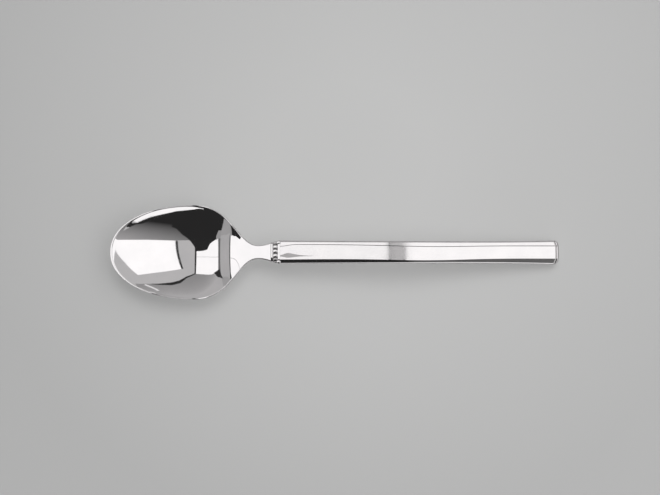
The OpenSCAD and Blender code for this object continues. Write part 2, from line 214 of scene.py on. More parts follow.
# Handle: its middle line, a straight, an arc and a straight
BAR_END_X = LENGTH - (BAR_THICKNESS / 2 - CAP_CHAMFER) * math.sin(math.radians(REAR_SLOPE))
BAR_END_Z = (BAR_THICKNESS / 2 * math.cos(math.radians(REAR_SLOPE))
             - CAP_CHAMFER * math.sin(math.radians(REAR_SLOPE)))
PEAK_X = ((BAR_END_Z - NECK_HEIGHT + BAR_END_X * TAN_REAR + JOINT_AT * TAN_FRONT)
          / (TAN_FRONT + TAN_REAR))
BEND_TANGENT = BEND_RADIUS * math.tan(math.radians((FRONT_SLOPE + REAR_SLOPE) / 2))
FRONT_RUN = (PEAK_X - JOINT_AT) / math.cos(math.radians(FRONT_SLOPE)) - BEND_TANGENT
REAR_RUN = (BAR_END_X - PEAK_X) / math.cos(math.radians(REAR_SLOPE)) - BEND_TANGENT
BEND_RUN = BEND_RADIUS * math.radians(FRONT_SLOPE + REAR_SLOPE)
HANDLE_RUN = FRONT_RUN + BEND_RUN + REAR_RUN
SHELL_END = HANDLE_RUN - CAP_THICKNESS


def bar_points(s, p):
    """Points p across the bar, [sideways, up], at distances s along its middle line."""
    s = np.asarray(s, float)
    a0, a1 = math.radians(FRONT_SLOPE), math.radians(-REAR_SLOPE)
    h = np.clip(a0 - (s - FRONT_RUN) / BEND_RADIUS, a1, a0)
    f = np.minimum(s, FRONT_RUN)
    r = np.maximum(0, s - FRONT_RUN - BEND_RUN)
    x = JOINT_AT + f * math.cos(a0) + BEND_RADIUS * (math.sin(a0) - np.sin(h)) + r * math.cos(a1)
    z = NECK_HEIGHT + f * math.sin(a0) + BEND_RADIUS * (np.cos(h) - math.cos(a0)) + r * math.sin(a1)
    return np.stack([x - p[:, 1] * np.sin(h) - LENGTH / 2, p[:, 0], z + p[:, 1] * np.cos(h)], -1)


def bar_width(s):
    if s < WAIST_AT:
        return BAR_WAIST + (BAR_FRONT - BAR_WAIST) * ((WAIST_AT - s) / (WAIST_AT - COLLAR_LENGTH)) ** 2
    return BAR_WAIST + (BAR_END - BAR_WAIST) * ((s - WAIST_AT) / (SHELL_END - WAIST_AT)) ** 2


def bar_bevel(s):
    return BEVEL_FRONT + (BEVEL_END - BEVEL_FRONT) * (s - COLLAR_LENGTH) / (SHELL_END - COLLAR_LENGTH)


# Sections of the bar: steps over a corner, the side, the bevel and half the top of a plain one
CORNER_STEPS = 5
SIDE_STEPS = 3
PLAIN_BEVEL_STEPS = 4
PLAIN_TOP_STEPS = 6


def arc(p, q, r, radius, steps):
    """Rounded corner at q between p and r."""
    p, q, r = (np.array(v, float) for v in (p, q, r))
    a, b = (p - q) / np.linalg.norm(p - q), (r - q) / np.linalg.norm(r - q)
    half = math.acos(float(np.clip(a @ b, -1, 1))) / 2
    c = q + (a + b) / np.linalg.norm(a + b) * radius / math.sin(half)
    v, w = q + a * radius / math.tan(half) - c, q + b * radius / math.tan(half) - c
    a0 = math.atan2(v[1], v[0])
    sweep = (math.atan2(w[1], w[0]) - a0 + 3 * math.pi) % (2 * math.pi) - math.pi
    return [c + radius * np.array([math.cos(a0 + sweep * i / steps), math.sin(a0 + sweep * i / steps)])
            for i in range(steps + 1)]


def flat(p, q, steps, margin=0.06):
    """Points on the straight from p to q, both left out, with one close to each end."""
    margin = min(margin / np.linalg.norm(q - p), 0.5 / steps)
    ts = [margin] + [i / steps for i in range(1, steps)] + [1 - margin]
    return [p + (q - p) * t for t in ts]


def upper_half(width, thickness, bevel, inset):
    """Upper half of the plain section from the seam at +y to the seam at -y."""
    slope = math.radians(BEVEL_SLOPE)
    half = width / 2 - inset
    seam = np.array([half, 0.0])
    shoulder = [half, thickness / 2 - bevel * math.tan(slope) - inset * math.tan(math.pi / 4 - slope / 2)]
    edge = [width / 2 - bevel - inset * math.tan(slope / 2), thickness / 2 - inset]
    radius = max(EDGE_RADIUS - inset, EDGE_RADIUS / 3)
    low = arc(seam, shoulder, edge, radius, CORNER_STEPS)
    high = arc(shoulder, edge, [-edge[0], edge[1]], radius, CORNER_STEPS)
    middle = np.array([0.0, edge[1]])
    right = ([seam] + flat(seam, low[0], SIDE_STEPS) + low + flat(low[-1], high[0], PLAIN_BEVEL_STEPS)
             + high + flat(high[-1], middle, PLAIN_TOP_STEPS))
    left = [np.array([-p[0], p[1]]) for p in reversed(right)]
    return np.array(right + [middle] + left)


def whole(up):
    """Closed section from its upper half."""
    return np.concatenate([up, up[::-1][1:-1] * [1, -1]])


def section(width, thickness, bevel, inset):
    return whole(upper_half(width, thickness, bevel, inset))


# The bar's skin: bevels that wander a little, and a top that lies a hair below a fine raised border.
# Far is the +Y side, at the top of the picture, and near is the -Y side.
FAR_SLOPE = 18.0
NEAR_SLOPE = 26.5
FAR_STEP_SLOPE = 30.0
NEAR_STEP_SLOPE = 5.7
CREST_RADIUS = 0.04
SEAM_CHAMFER = 0.05
BORDER_STEP = 0.12
BORDER_STEP_GROWTH = 0.0012
SKIN_SHOULDER_STEPS = 12
SKIN_BEVEL_STEPS = 6
SKIN_CREST_STEPS = 4
SKIN_FOOT_STEPS = 3
SKIN_TOP_STEPS = 9

# The border's path: the bevels' width and its growth towards the end, how far the top sways to one side,
# and how far the far border turns in behind the collar
TOP_BEVEL = 1.2
TOP_BEVEL_GROWTH = 0.4
GROWTH_FROM = 35
GROWTH_RUN = 50
SWAY = 0.12
SWAY_DIP = 0.45
SWAY_AT = 47
SWAY_RUN = 16
FAR_SPREAD = 0.58
FAR_SPREAD_RUN = 2.8


def top_edge(s, side):
    """Distance from the middle line to the border of the flat top on the far (1) or near (-1) side."""
    bevel = TOP_BEVEL + TOP_BEVEL_GROWTH * max(0.0, (s - GROWTH_FROM) / GROWTH_RUN) ** 2
    sway = SWAY - SWAY_DIP * math.exp(-((s - SWAY_AT) / SWAY_RUN) ** 2)
    spread = FAR_SPREAD * math.exp(-((s - COLLAR_LENGTH) / FAR_SPREAD_RUN) ** 2) if side > 0 else 0.0
    return bar_width(s) / 2 - bevel + side * sway - spread


def skin_side(s, side, inset, chamfer):
    """The skin's upper half section on one side, from the seam to the middle of the top."""
    slope = math.radians(FAR_SLOPE if side > 0 else NEAR_SLOPE)
    fall = math.radians(FAR_STEP_SLOPE if side > 0 else NEAR_STEP_SLOPE)
    half, top, edge = bar_width(s) / 2 - inset, BAR_THICKNESS / 2 - inset, top_edge(s, side)
    step = BORDER_STEP + BORDER_STEP_GROWTH * s
    start = [np.array([half - chamfer, 0.0]), np.array([half, chamfer])]
    shoulder = np.array([half, top - (half - edge) * math.tan(slope)])
    crest = np.array([edge, top])
    foot = np.array([edge - step, top - step * math.tan(fall)])
    middle = np.array([0.0, top - step * (math.tan(math.radians(FAR_STEP_SLOPE))
                                          + math.tan(math.radians(NEAR_STEP_SLOPE))) / 2])
    low = arc(start[1], shoulder, crest, EDGE_RADIUS, SKIN_SHOULDER_STEPS)
    high = arc(shoulder, crest, foot, CREST_RADIUS, SKIN_CREST_STEPS)
    base = arc(crest, foot, middle, CREST_RADIUS, SKIN_FOOT_STEPS)
    return (start + flat(start[1], low[0], SIDE_STEPS) + low + flat(low[-1], high[0], SKIN_BEVEL_STEPS)
            + high + base + flat(base[-1], middle, SKIN_TOP_STEPS))


def skin(s, inset=0.0, chamfer=SEAM_CHAMFER):
    far, near = skin_side(s, 1, inset, chamfer), skin_side(s, -1, inset, chamfer)
    middle = np.array([0.0, far[-1][1]])
    return np.array(far + [middle] + [p * [-1, 1] for p in reversed(near)])


# Meshes
def add_object(name, points, faces, sharp, shade_depth=None):
    """A smooth object with edges sharper than an angle kept, and how deep each point lies for the painted
    shade in hollows.
    """
    me = bpy.data.meshes.new(name)
    me.from_pydata((np.asarray(points) * MM).tolist(), [], [list(map(int, f)) for f in faces])
    if shade_depth is not None:
        layer = me.attributes.new("shade_depth", "FLOAT", "POINT")
        layer.data.foreach_set("value", np.asarray(shade_depth, np.float32))
    bm = bmesh.new()
    bm.from_mesh(me)
    bmesh.ops.recalc_face_normals(bm, faces=bm.faces)
    bm.to_mesh(me)
    bm.free()
    me.shade_smooth()
    me.set_sharp_from_angle(angle=math.radians(sharp))
    ob = bpy.data.objects.new(name, me)
    bpy.context.scene.collection.objects.link(ob)
    return ob


def loft(rings, wrap=False, first=0):
    """Points and faces over closed rings of equal length; the ends are capped unless they wrap round."""
    rings = [np.asarray(r) for r in rings]
    n, m = len(rings[0]), len(rings)
    faces = []
    for i in range(m if wrap else m - 1):
        a, b = first + i * n, first + (i + 1) % m * n
        faces += [(a + j, b + j, b + (j + 1) % n, a + (j + 1) % n) for j in range(n)]
    if not wrap:
        faces.append(tuple(first + j for j in range(n)))
        faces.append(tuple(first + (m - 1) * n + j for j in reversed(range(n))))
    return np.concatenate(rings), faces


# The bowl's mesh: rows along the heel, steps round the tip, and rings over the top, rim, edge and underside
HEEL_ROWS = 110
TIP_STEPS = 150
TOP_RINGS = 34
RIM_RINGS = 12
ROLL_RINGS = 5
LOW_RINGS = 26
BOWL_SHARP = 62

# Across the rim: the share where it has levelled out, the share of the slope that is left there, and the
# radii of its upper and lower outer corners
RIM_LEVEL = 0.45
RIM_REST = 0.04
RIM_CORNER = 0.03
RIM_ROLL = 0.25


def bowl_mesh():
    heel = np.linspace(JOINT_AT, BOWL_FRONT, HEEL_ROWS + 1)
    angle = np.linspace(math.pi / 2, 3 * math.pi / 2, TIP_STEPS + 1)[1:-1]
    power = 2 / TIP_FULLNESS
    ex = BOWL_FRONT * (1 - np.abs(np.cos(angle)) ** power)
    ey = BOWL_HALF * np.sign(np.sin(angle)) * np.abs(np.sin(angle)) ** power
    gx = -((BOWL_FRONT - ex) / BOWL_FRONT) ** (TIP_FULLNESS - 1) / BOWL_FRONT
    gy = np.sign(ey) * (np.abs(ey) / BOWL_HALF) ** (TIP_FULLNESS - 1) / BOWL_HALF
    land = RIM_LAND + (TIP_LAND - RIM_LAND) * np.abs(np.cos(angle)) ** TIP_LAND_FADE
    land = land / np.hypot(gx, gy)
    side = np.stack([heel, half_width(heel)], -1)
    side_in = np.stack([heel, inner_half(heel)], -1)
    mirror = np.array([1, -1])
    tip = np.stack([ex, ey], -1)
    tip_in = tip - land[:, None] * np.stack([gx, gy], -1)
    outer = np.concatenate([side, tip, (side * mirror)[::-1]])
    inner = np.concatenate([side_in, tip_in, (side_in * mirror)[::-1]])
    steps = len(outer) - 1
    row = np.concatenate([np.arange(HEEL_ROWS + 1), np.full(TIP_STEPS - 1, HEEL_ROWS),
                          np.arange(HEEL_ROWS, -1, -1)])
    spine = np.stack([heel[row], np.zeros(steps + 1)], -1)

    def surface(p, height):
        return spoon_points(p[:, 0], p[:, 1], height(p[:, 0], p[:, 1]))

    rings = [surface(spine + k / TOP_RINGS * (inner - spine), top_z) for k in range(1, TOP_RINGS + 1)]

    # Across the rim the bowl's slope eases off to a crisp edge, while the neck's top rolls over its edge
    across = outer - inner
    width = np.linalg.norm(across, axis=1)
    roll = turn(inner[:, 0])
    zp = top_z(inner[:, 0], inner[:, 1])
    rise = top_z(outer[:, 0], outer[:, 1]) - zp
    for k in range(1, RIM_RINGS + 1):
        a = math.pi / 2 * k / RIM_RINGS
        t = math.sin(a)
        past = np.clip((width * (t - 1) + RIM_CORNER) / RIM_CORNER, 0, 1)
        corner = RIM_CORNER * (1 - np.sqrt(1 - past ** 2))
        bent = min(t, RIM_LEVEL)
        climb = bent - (1 - RIM_REST) * bent ** 2 / (2 * RIM_LEVEL) + RIM_REST * (t - bent)
        z = zp + (1 - roll) * (rise * climb - corner) - roll * NECK_EDGE * (1 - math.cos(a))
        p = inner + across * t
        rings.append(spoon_points(p[:, 0], p[:, 1], z))

    # The outer wall rolls into the underside
    inward = across / width[:, None] * RIM_ROLL
    for k in range(ROLL_RINGS + 1):
        a = math.pi / 2 * k / ROLL_RINGS
        p = outer - inward * (1 - math.cos(a))
        z = low_z(p[:, 0], p[:, 1]) + RIM_ROLL * (1 - math.sin(a))
        rings.append(spoon_points(p[:, 0], p[:, 1], z))
    under = outer - inward
    rings += [surface(spine + k / LOW_RINGS * (under - spine), low_z) for k in range(LOW_RINGS - 1, 0, -1)]
    middle = np.stack([heel, np.zeros(HEEL_ROWS + 1)], -1)
    points = np.concatenate([surface(middle, top_z)] + rings + [surface(middle, low_z)])

    n, count, spine_n = steps + 1, len(rings), HEEL_ROWS + 1
    last = count - 1
    low_first = spine_n + n * count

    def at(k, i):
        return spine_n + k * n + i

    faces = []
    for i in range(steps):
        a, b = int(row[i]), int(row[i + 1])
        top = [a, b, at(0, i + 1), at(0, i)] if a != b else [a, at(0, i + 1), at(0, i)]
        low = ([at(last, i), at(last, i + 1), low_first + b, low_first + a] if a != b
               else [at(last, i), at(last, i + 1), low_first + a])
        faces += [top, low]
        faces += [[at(k, i), at(k, i + 1), at(k + 1, i + 1), at(k + 1, i)] for k in range(last)]
    faces.append([0] + [at(k, 0) for k in range(count)] + [low_first]
                 + [at(k, steps) for k in range(last, -1, -1)])
    return points, faces


NOTCH_POINTS = 9


def tang_mesh(first):
    """The notched bar behind the neck, as a ring of plan points between two levels."""
    pitch = (TANG_LENGTH - COLLAR_LENGTH - COLLAR_PLUG) / (NOTCH_COUNT + 1)
    edge = [(-TANG_ROOT, TANG_WIDTH / 2)]
    for i in range(1, NOTCH_COUNT + 1):
        c = COLLAR_LENGTH + COLLAR_PLUG + i * pitch
        edge += [(c - NOTCH_RADIUS * math.cos(a), TANG_WIDTH / 2 - NOTCH_RADIUS * math.sin(a))
                 for a in np.linspace(0, math.pi, NOTCH_POINTS)]
    edge.append((TANG_LENGTH, TANG_WIDTH / 2))
    plan = np.array(edge + [(x, -y) for x, y in reversed(edge)])
    rings = [bar_points(plan[:, 0], np.stack([plan[:, 1], np.full(len(plan), z)], -1))
             for z in (-TANG_THICKNESS / 2, TANG_THICKNESS / 2)]
    return loft(rings, first=first)


def build_bowl():
    points, faces = bowl_mesh()
    tang_points, tang_faces = tang_mesh(len(points))
    return add_object("bowl", np.concatenate([points, tang_points]), faces + tang_faces, sharp=BOWL_SHARP)


def around(v, shares):
    """Points at shares of the way round a closed outline."""
    loop = np.concatenate([v, v[:1]])
    d = np.concatenate([[0], np.cumsum(np.linalg.norm(np.diff(loop, axis=0), axis=1))])
    goal = np.asarray(shares) * d[-1]
    return np.stack([np.interp(goal, d, loop[:, k]) for k in (0, 1)], -1)


# The collar: the clean face inside the lip's rounding, the start of the rear ring, the rounding of the rings,
# and the distance of the groove's floor from them
LIP_FACE = 0.06
RING_START = 2.2
RING_ROUND = 0.06
GROOVE_FOOT = 0.04
QUARTER_STEPS = 4
COLLAR_SHARP = 45

# How deep a place lies, for the painted shade that darkens the collar's hollows
UNSHADED = 0.0
FAINT = 0.1
HALF = 0.5
DEEP = 1.0

# A pearl's half sizes along, across and up, its fullness, the level below which painted shade darkens it,
# and, as shares of the way round, how far the row is turned and the step that gives its direction
PEARL_SIZE = (0.74, 0.575, 0.42)
PEARL_FULLNESS = 0.68
PEARL_DIP = 0.1
PEARL_TURN = 0.021
AHEAD_SHARE = 0.004

# The two petals on the rear ring's shoulders
PETAL_AT = 2.5
PETAL_SIDE = 2.85
PETAL_UP = 1.8
PETAL_SIZE = (0.62, 0.6, 0.3)
PETAL_FULLNESS = 1.0
PETAL_DIP = -0.5

BEAD_TURNS = 24
BEAD_LEVELS = 14


def swelled(v, full):
    """A sine or cosine that is made fuller, so that a bead bulges like a small cushion."""
    return math.copysign(abs(v) ** full, v)


def bead(first, seat, along, out, at, size, full, dip):
    """A rounded bead: points, painted shade at its foot, and faces that count from first on."""
    ball, shade, sides = [], [], []
    for i in range(1, BEAD_LEVELS):
        t = math.pi * i / BEAD_LEVELS
        wide, up = swelled(math.sin(t), full), size[2] * swelled(math.cos(t), full)
        for j in range(BEAD_TURNS):
            f = 2 * math.pi * j / BEAD_TURNS
            side = size[1] * wide * swelled(math.sin(f), full)
            place = at + size[0] * wide * swelled(math.cos(f), full)
            ball.append((place, *(seat + along * side + out * up)))
            # Painted shade: the bead darkens below its dip level, and its lower pole is fully dark
            shade.append(float(np.clip(dip - math.cos(t), 0, 1)))
    for pole in (1, -1):
        ball.append((at, *(seat + out * size[2] * pole)))
        shade.append(UNSHADED if pole > 0 else DEEP)
    for i in range(BEAD_LEVELS - 2):
        for j in range(BEAD_TURNS):
            a, b = first + i * BEAD_TURNS + j, first + i * BEAD_TURNS + (j + 1) % BEAD_TURNS
            sides.append((a, b, b + BEAD_TURNS, a + BEAD_TURNS))
    top, end = first + (BEAD_LEVELS - 1) * BEAD_TURNS, first + (BEAD_LEVELS - 2) * BEAD_TURNS
    for j in range(BEAD_TURNS):
        sides.append((top, first + (j + 1) % BEAD_TURNS, first + j))
        sides.append((top + 1, end + j, end + (j + 1) % BEAD_TURNS))
    ball = np.array(ball)
    return bar_points(ball[:, 0], ball[:, 1:]), shade, sides


def build_collar():
    lip_thickness = BAR_THICKNESS - (BAR_FRONT - LIP_WIDTH) / 2
    groove_width, groove_thickness = LIP_WIDTH - 2 * GROOVE_DEPTH, lip_thickness - 2 * GROOVE_DEPTH
    plug_inset = SHELL_WALL + FIT_GAP
    plug_end = COLLAR_LENGTH + COLLAR_PLUG

    def ring(s, inset, wide, thick):
        p = section(wide, thick, BEVEL_FRONT, inset)
        return bar_points(np.full(len(p), s), p)

    def lip(s, inset):
        return ring(s, inset, LIP_WIDTH, lip_thickness)

    def groove(s):
        return ring(s, 0, groove_width, groove_thickness)

    def rear(s, inset):
        return ring(s, inset, BAR_FRONT, BAR_THICKNESS)

    def hole(s):
        p = section(LIP_WIDTH, lip_thickness, BEVEL_FRONT, 0)
        half = np.array([TANG_WIDTH / 2 + FIT_GAP, TANG_THICKNESS / 2 + FIT_GAP])
        p = p * np.min(half / np.maximum(np.abs(p), TINY), axis=1)[:, None]
        return bar_points(np.full(len(p), s), p)

    # Rings from the hole's front over the lip, groove and rear ring to the plug, each with its depth of
    # painted shade
    quarter = [math.pi / 2 * k / QUARTER_STEPS for k in range(QUARTER_STEPS + 1)]
    steps = [(hole(0), UNSHADED), (lip(0, LIP_ROUND + LIP_FACE), UNSHADED)]
    steps += [(lip(LIP_ROUND * (1 - math.cos(a)), LIP_ROUND * (1 - math.sin(a))),
               max(math.cos(a), 0.0) ** 0.5) for a in quarter]
    steps += [(lip(LIP_LENGTH - RING_ROUND * (1 - math.sin(a)), RING_ROUND * (1 - math.cos(a))), FAINT)
              for a in quarter[1:]]
    steps += [(groove(LIP_LENGTH + GROOVE_FOOT), DEEP), (groove(RING_START - GROOVE_FOOT), DEEP)]
    steps += [(rear(RING_START + RING_ROUND * (1 - math.cos(a)), RING_ROUND * (1 - math.sin(a))), FAINT)
              for a in quarter]
    steps += [(rear(COLLAR_LENGTH - RING_ROUND * (1 - math.sin(a)), RING_ROUND * (1 - math.cos(a))), FAINT)
              for a in quarter]
    steps += [(rear(COLLAR_LENGTH, plug_inset), HALF), (rear(plug_end, plug_inset), HALF),
              (hole(plug_end), HALF)]
    points, faces = loft([r for r, _ in steps], wrap=True)
    dark = np.repeat([d for _, d in steps], len(steps[0][0]))

    # The row of pearls in the groove, and the petals
    path = section(groove_width, groove_thickness, BEVEL_FRONT, 0)
    places = (np.arange(PEARL_COUNT) / PEARL_COUNT - PEARL_TURN) % 1
    seats, ahead = around(path, places), around(path, (places + AHEAD_SHARE) % 1)
    beads = []
    for seat, nxt in zip(seats, ahead):
        along = (nxt - seat) / np.linalg.norm(nxt - seat)
        out = np.array([along[1], -along[0]])
        beads.append((seat, along, out if out @ seat > 0 else -out, (LIP_LENGTH + RING_START) / 2,
                      PEARL_SIZE, PEARL_FULLNESS, PEARL_DIP))
    for side in (1, -1):
        beads.append((np.array([side * PETAL_SIDE, PETAL_UP]), np.array([1.0, 0.0]), np.array([0.0, 1.0]),
                      PETAL_AT, PETAL_SIZE, PETAL_FULLNESS, PETAL_DIP))
    for one in beads:
        more, shade, sides = bead(len(points), *one)
        points = np.concatenate([points, more])
        dark = np.concatenate([dark, shade])
        faces = faces + sides
    return add_object("collar_band", points, faces, sharp=COLLAR_SHARP, shade_depth=dark)


# How far and over which length the bar's end is bowed in plan, and the depth of the rolled joint edges
BOW = 0.57
BOW_RUN = 4.0
BOW_POWER = 3.5
JOINT_ROLL = 0.2

# The shells' sections along the bar, and the closer ones before the end
SHELL_STATIONS = 230
END_STATIONS = (0.11, 0.07, 0.03, 0.0)
SHELL_SHARP = 38

# The end plate: its rounded edge, its sections at the joint as distances and insets, and its face's rings
CAP_ROUND = 0.68
CAP_ROUND_STEPS = 13
CAP_SEAT = 0.02
CAP_SWELL = ((0.05, 0.05), (0.12, 0.0))
CAP_FACE_SHARES = (0.75, 0.5, 0.25, 0.06)
CAP_SHARP = 50


def bowed(s, p, half):
    """Pulls the corners of the bar's end back a little, so that the end is bowed in plan."""
    k = ease((s - (SHELL_END - BOW_RUN)) / BOW_RUN)
    return s - BOW * k * np.clip(np.abs(p[:, 0]) / half, 0, 1) ** BOW_POWER


def shell_stations():
    body = np.linspace(COLLAR_LENGTH + JOINT_ROLL, SHELL_END - JOINT_ROLL, SHELL_STATIONS)
    return np.concatenate([[COLLAR_LENGTH], body, [SHELL_END - e for e in END_STATIONS]])


def shell_inset(s):
    """Rolls the shell's rear end in by a hair, so that the joint with the end plate shows as a fine line."""
    return JOINT_ROLL * max(0.0, 1 - (SHELL_END - s) / JOINT_ROLL) ** 2


def build_shell(name, sign):
    """The upper (1) or lower (-1) half of the bar."""
    rings = []
    for s in shell_stations():
        out = skin(s, shell_inset(s))
        back = upper_half(bar_width(s), BAR_THICKNESS, bar_bevel(s), SHELL_WALL)[::-1]
        p = np.concatenate([out, back])
        rings.append(bar_points(bowed(s, p, bar_width(s) / 2), p * [1, sign]))
    points, faces = loft(rings)
    return add_object(name, points, faces, sharp=SHELL_SHARP)


def build_cap():
    plug = SHELL_WALL + FIT_GAP
    steps = [(SHELL_END - CAP_PLUG, plug), (SHELL_END - CAP_SEAT, plug), (SHELL_END, JOINT_ROLL)]
    steps += [(SHELL_END + past, inset) for past, inset in CAP_SWELL]
    steps += [(HANDLE_RUN - CAP_ROUND + CAP_ROUND * math.sin(a), CAP_ROUND * (1 - math.cos(a)))
              for a in np.linspace(0, math.pi / 2, CAP_ROUND_STEPS)]
    rings = []
    for s, inset in steps:
        p = whole(skin(SHELL_END, inset, 0.0))
        rings.append(bar_points(bowed(s, p, BAR_END / 2), p))
    face = whole(skin(SHELL_END, CAP_ROUND, 0.0))
    for k in CAP_FACE_SHARES:
        rings.append(bar_points(bowed(HANDLE_RUN, face * k, BAR_END / 2), face * k))
    points, faces = loft(rings)
    return add_object("end_plate", points, faces, sharp=CAP_SHARP)


# Materials
def new_material(name):
    m = bpy.data.materials.new(name)
    m.use_nodes = True
    m.node_tree.nodes.clear()
    return m


class Graph:
    """Short hand for making and linking shader nodes."""

    def __init__(self, tree):
        self.tree = tree

    def node(self, kind, inputs=None, **props):
        n = self.tree.nodes.new(kind)
        for k, v in props.items():
            setattr(n, k, v)
        for k, v in (inputs or {}).items():
            if isinstance(v, bpy.types.NodeSocket):
                self.tree.links.new(v, n.inputs[k])
            else:
                n.inputs[k].default_value = v
        return n

    def math(self, operation, a, b=0.0, c=0.0, clamp=False):
        inputs = {0: a, 1: b, 2: c}
        return self.node("ShaderNodeMath", inputs, operation=operation, use_clamp=clamp).outputs[0]

    def place(self):
        """The object's own coordinates in millimetres, as three values."""
        co = self.node("ShaderNodeTexCoord").outputs["Object"]
        big = self.node("ShaderNodeVectorMath", {0: co, "Scale": 1 / MM}, operation="SCALE").outputs[0]
        return self.node("ShaderNodeSeparateXYZ", {0: big}).outputs

    def noise(self, scale, stretch=(1, 1, 1), turn=0.0, detail=3.0, rough=0.5):
        co = self.node("ShaderNodeTexCoord").outputs["Object"]
        place = self.node("ShaderNodeMapping", {"Vector": co, "Scale": stretch, "Rotation": (0, 0, turn)})
        n = self.node("ShaderNodeTexNoise", {"Vector": place.outputs[0], "Scale": scale, "Detail": detail,
                                             "Roughness": rough})
        return n.outputs["Fac"]

    def ramp(self, fac, low, high, a, b):
        n = self.node("ShaderNodeMapRange", {"Value": fac, "From Min": low, "From Max": high, "To Min": a,
                                             "To Max": b})
        return n.outputs[0]

    def mix(self, fac, a, b):
        n = self.node("ShaderNodeMix", data_type="RGBA")
        for socket, v in ((n.inputs[0], fac), (n.inputs[6], a), (n.inputs[7], b)):
            if isinstance(v, bpy.types.NodeSocket):
                self.tree.links.new(v, socket)
            else:
                socket.default_value = v
        return n.outputs[2]

    def bump(self, height, strength, distance, normal=None):
        inputs = {"Height": height, "Strength": strength, "Distance": distance}
        if normal is not None:
            inputs["Normal"] = normal
        return self.node("ShaderNodeBump", inputs).outputs[0]

    def finish(self, shader):
        self.node("ShaderNodeOutputMaterial", {"Surface": shader.outputs[0]})


# Painted grey reflection on the bar's top, in millimetres: its middle, its taper to both sides, the line that
# it tapers to, its reach beyond that line on the far and near side, its soft border, and where its tail ends
PATCH_X = -14.45
PATCH_FRONT = 1.5
PATCH_REAR = 2.9
PATCH_LINE = -1.15
PATCH_FAR = 0.95
PATCH_NEAR = 0.54
PATCH_SOFT = 0.12
PATCH_TAIL = (0.09, 0.15)
# The painted reflection's grey tone, and the roughness added there
PAINTED_REFLECTION_TONE = (0.44, 0.425, 0.425, 1)
PATCH_ROUGH = 0.35

# The near bevel of the bar is polished brighter than its top: where it starts, and its share of the roughness
NEAR_BEVEL = (-2.3, -2.0)
NEAR_BEVEL_SHARE = 0.4

# Painted shade in the collar's recesses, darker the deeper a point lies
RECESS_SHADE_TONE = (0.12, 0.118, 0.118, 1)
RECESS_SHADE_NOISE = 0.18
RECESS_SHADE_EDGE = (0.25, 0.95)
RECESS_SHADE_ROUGH = 0.3

# The hairlines in the polish
HAIRLINE_ROUGH = 0.02
HAIRLINE_STRENGTH = 0.6
HAIRLINE_DEPTH = 2.5e-7


def painted_reflection_mask(g):
    """Mask of the flame-shaped place on the near half of the bar's top, just behind the collar, where a grey
    reflection is painted.
    """
    x, y, _ = g.place()
    off = g.math("SUBTRACT", x, PATCH_X)
    before = g.math("POWER", g.math("DIVIDE", g.math("MINIMUM", off, 0.0), PATCH_FRONT), 2.0)
    after = g.math("POWER", g.math("DIVIDE", g.math("MAXIMUM", off, 0.0), PATCH_REAR), 2.0)
    swell = g.math("DIVIDE", 1.0, g.math("ADD", g.math("ADD", before, after), 1.0))
    above = g.math("SUBTRACT", g.math("MULTIPLY_ADD", swell, PATCH_FAR, PATCH_LINE), y)
    below = g.math("SUBTRACT", y, g.math("MULTIPLY_ADD", swell, -PATCH_NEAR, PATCH_LINE))
    inside = g.math("MULTIPLY", g.math("DIVIDE", above, PATCH_SOFT, clamp=True),
                    g.math("DIVIDE", below, PATCH_SOFT, clamp=True))
    return g.math("MULTIPLY", inside, g.ramp(swell, *PATCH_TAIL, 0, 1))


def steel(name, tones, low, high, wave, wave_size, grain_along, recess_shade=False, painted_reflection=False):
    """Polished steel: faint haze and smudges, fine hairlines, and the slight waviness of worked metal."""
    m = new_material(name)
    g = Graph(m.node_tree)
    cloud = g.noise(scale=170, detail=4)
    tone = g.mix(g.ramp(cloud, 0.35, 0.65, 0, 1), *tones)
    smear = g.noise(scale=420, stretch=(0.35, 1, 1), turn=0.35, detail=5, rough=0.62)
    lines = g.noise(scale=1, stretch=grain_along, detail=2)
    rough = g.math("ADD", g.ramp(smear, 0.3, 0.75, low, high), g.ramp(lines, 0.45, 0.75, 0, HAIRLINE_ROUGH))
    swell = g.noise(scale=1 / wave_size, detail=1.5)
    waves = g.bump(swell, strength=1.0, distance=wave)
    normal = g.bump(lines, strength=HAIRLINE_STRENGTH, distance=HAIRLINE_DEPTH, normal=waves)
    # Painted shade: the collar darkens with each point's depth in its hollows, with noise on its border
    if recess_shade:
        deep = g.node("ShaderNodeAttribute", attribute_name="shade_depth").outputs["Fac"]
        shade_noise = g.ramp(g.noise(scale=2600, detail=3), 0.3, 0.7, -RECESS_SHADE_NOISE, RECESS_SHADE_NOISE)
        mask = g.ramp(g.math("ADD", deep, shade_noise), *RECESS_SHADE_EDGE, 0, 1)
        tone = g.mix(mask, tone, RECESS_SHADE_TONE)
        rough = g.math("ADD", rough, g.ramp(mask, 0, 1, 0, RECESS_SHADE_ROUGH))
    # Painted reflection: a grey flame-shaped mark on the bar's top, with rougher polish there
    if painted_reflection:
        mask = painted_reflection_mask(g)
        tone = g.mix(mask, tone, PAINTED_REFLECTION_TONE)
        bevel = g.ramp(g.place()[1], *NEAR_BEVEL, 1, 0)
        rough = g.math("MULTIPLY", rough, g.ramp(bevel, 0, 1, 1, NEAR_BEVEL_SHARE))
        rough = g.math("ADD", rough, g.ramp(mask, 0, 1, 0, PATCH_ROUGH))
    g.finish(g.node("ShaderNodeBsdfPrincipled", {"Base Color": tone, "Roughness": rough, "Metallic": 1.0,
                                                 "Normal": normal}))
    return m


CEMENT_TONES = ((0.30, 0.28, 0.25, 1), (0.40, 0.38, 0.34, 1))
CEMENT_SPECK_TONE = (0.16, 0.15, 0.13, 1)


